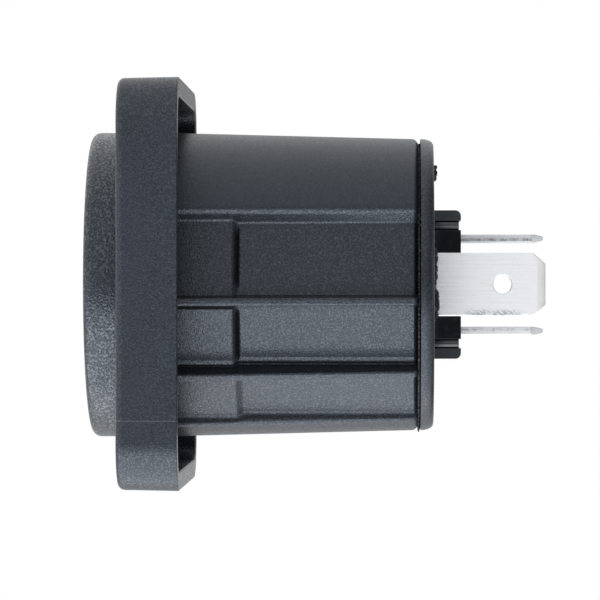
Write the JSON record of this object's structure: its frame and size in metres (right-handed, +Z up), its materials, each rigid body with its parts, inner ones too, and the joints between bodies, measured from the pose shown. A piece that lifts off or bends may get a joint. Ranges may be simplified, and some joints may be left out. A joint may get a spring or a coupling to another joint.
{
  "type": "flanged power inlet",
  "caption": "Panel-mount power inlet with a square cored flange, round nose, recessed male blades and ground pin, ribbed tapered barrel, sealed rear cap and quick-connect tabs.",
  "frame": {"origin": "on the barrel axis in the plane where the flange's rim meets its panel", "axes": "+X along the barrel axis towards the tabs, +Z up as in the picture, +Y away from the ground tab's side"},
  "size_m": [0.0456, 0.0406, 0.0406],
  "materials": {
    "grained_moulding": "medium grain, dark slate grey",
    "coarse_moulding": "coarse spark-eroded grain, dark slate grey",
    "fine_moulding": "fine matte, dark slate grey",
    "gloss_moulding": "smooth black",
    "tinned_brass": "tin plated, brushed along the tab",
    "bare_brass": "satin",
    "sealant": "ragged, glossy black",
    "gasket_rubber": "matte"
  },
  "bodies": {
    "root": {"mounting_flange": "fine_moulding", "nose_ring": "coarse_moulding", "inlet_barrel": "grained_moulding", "insert_gasket": "gasket_rubber", "blade_insert": "gloss_moulding", "line_blade": "bare_brass", "neutral_blade": "bare_brass", "ground_pin": "bare_brass", "line_tab": "tinned_brass", "neutral_tab": "tinned_brass", "ground_tab": "tinned_brass", "line_rivet": "bare_brass", "neutral_rivet": "bare_brass", "ground_washer": "tinned_brass", "terminal_block": "gloss_moulding", "rear_cap": "fine_moulding", "cap_seal_bead": "sealant", "ground_tab_sealant": "sealant"}
  },
  "joints": []
}
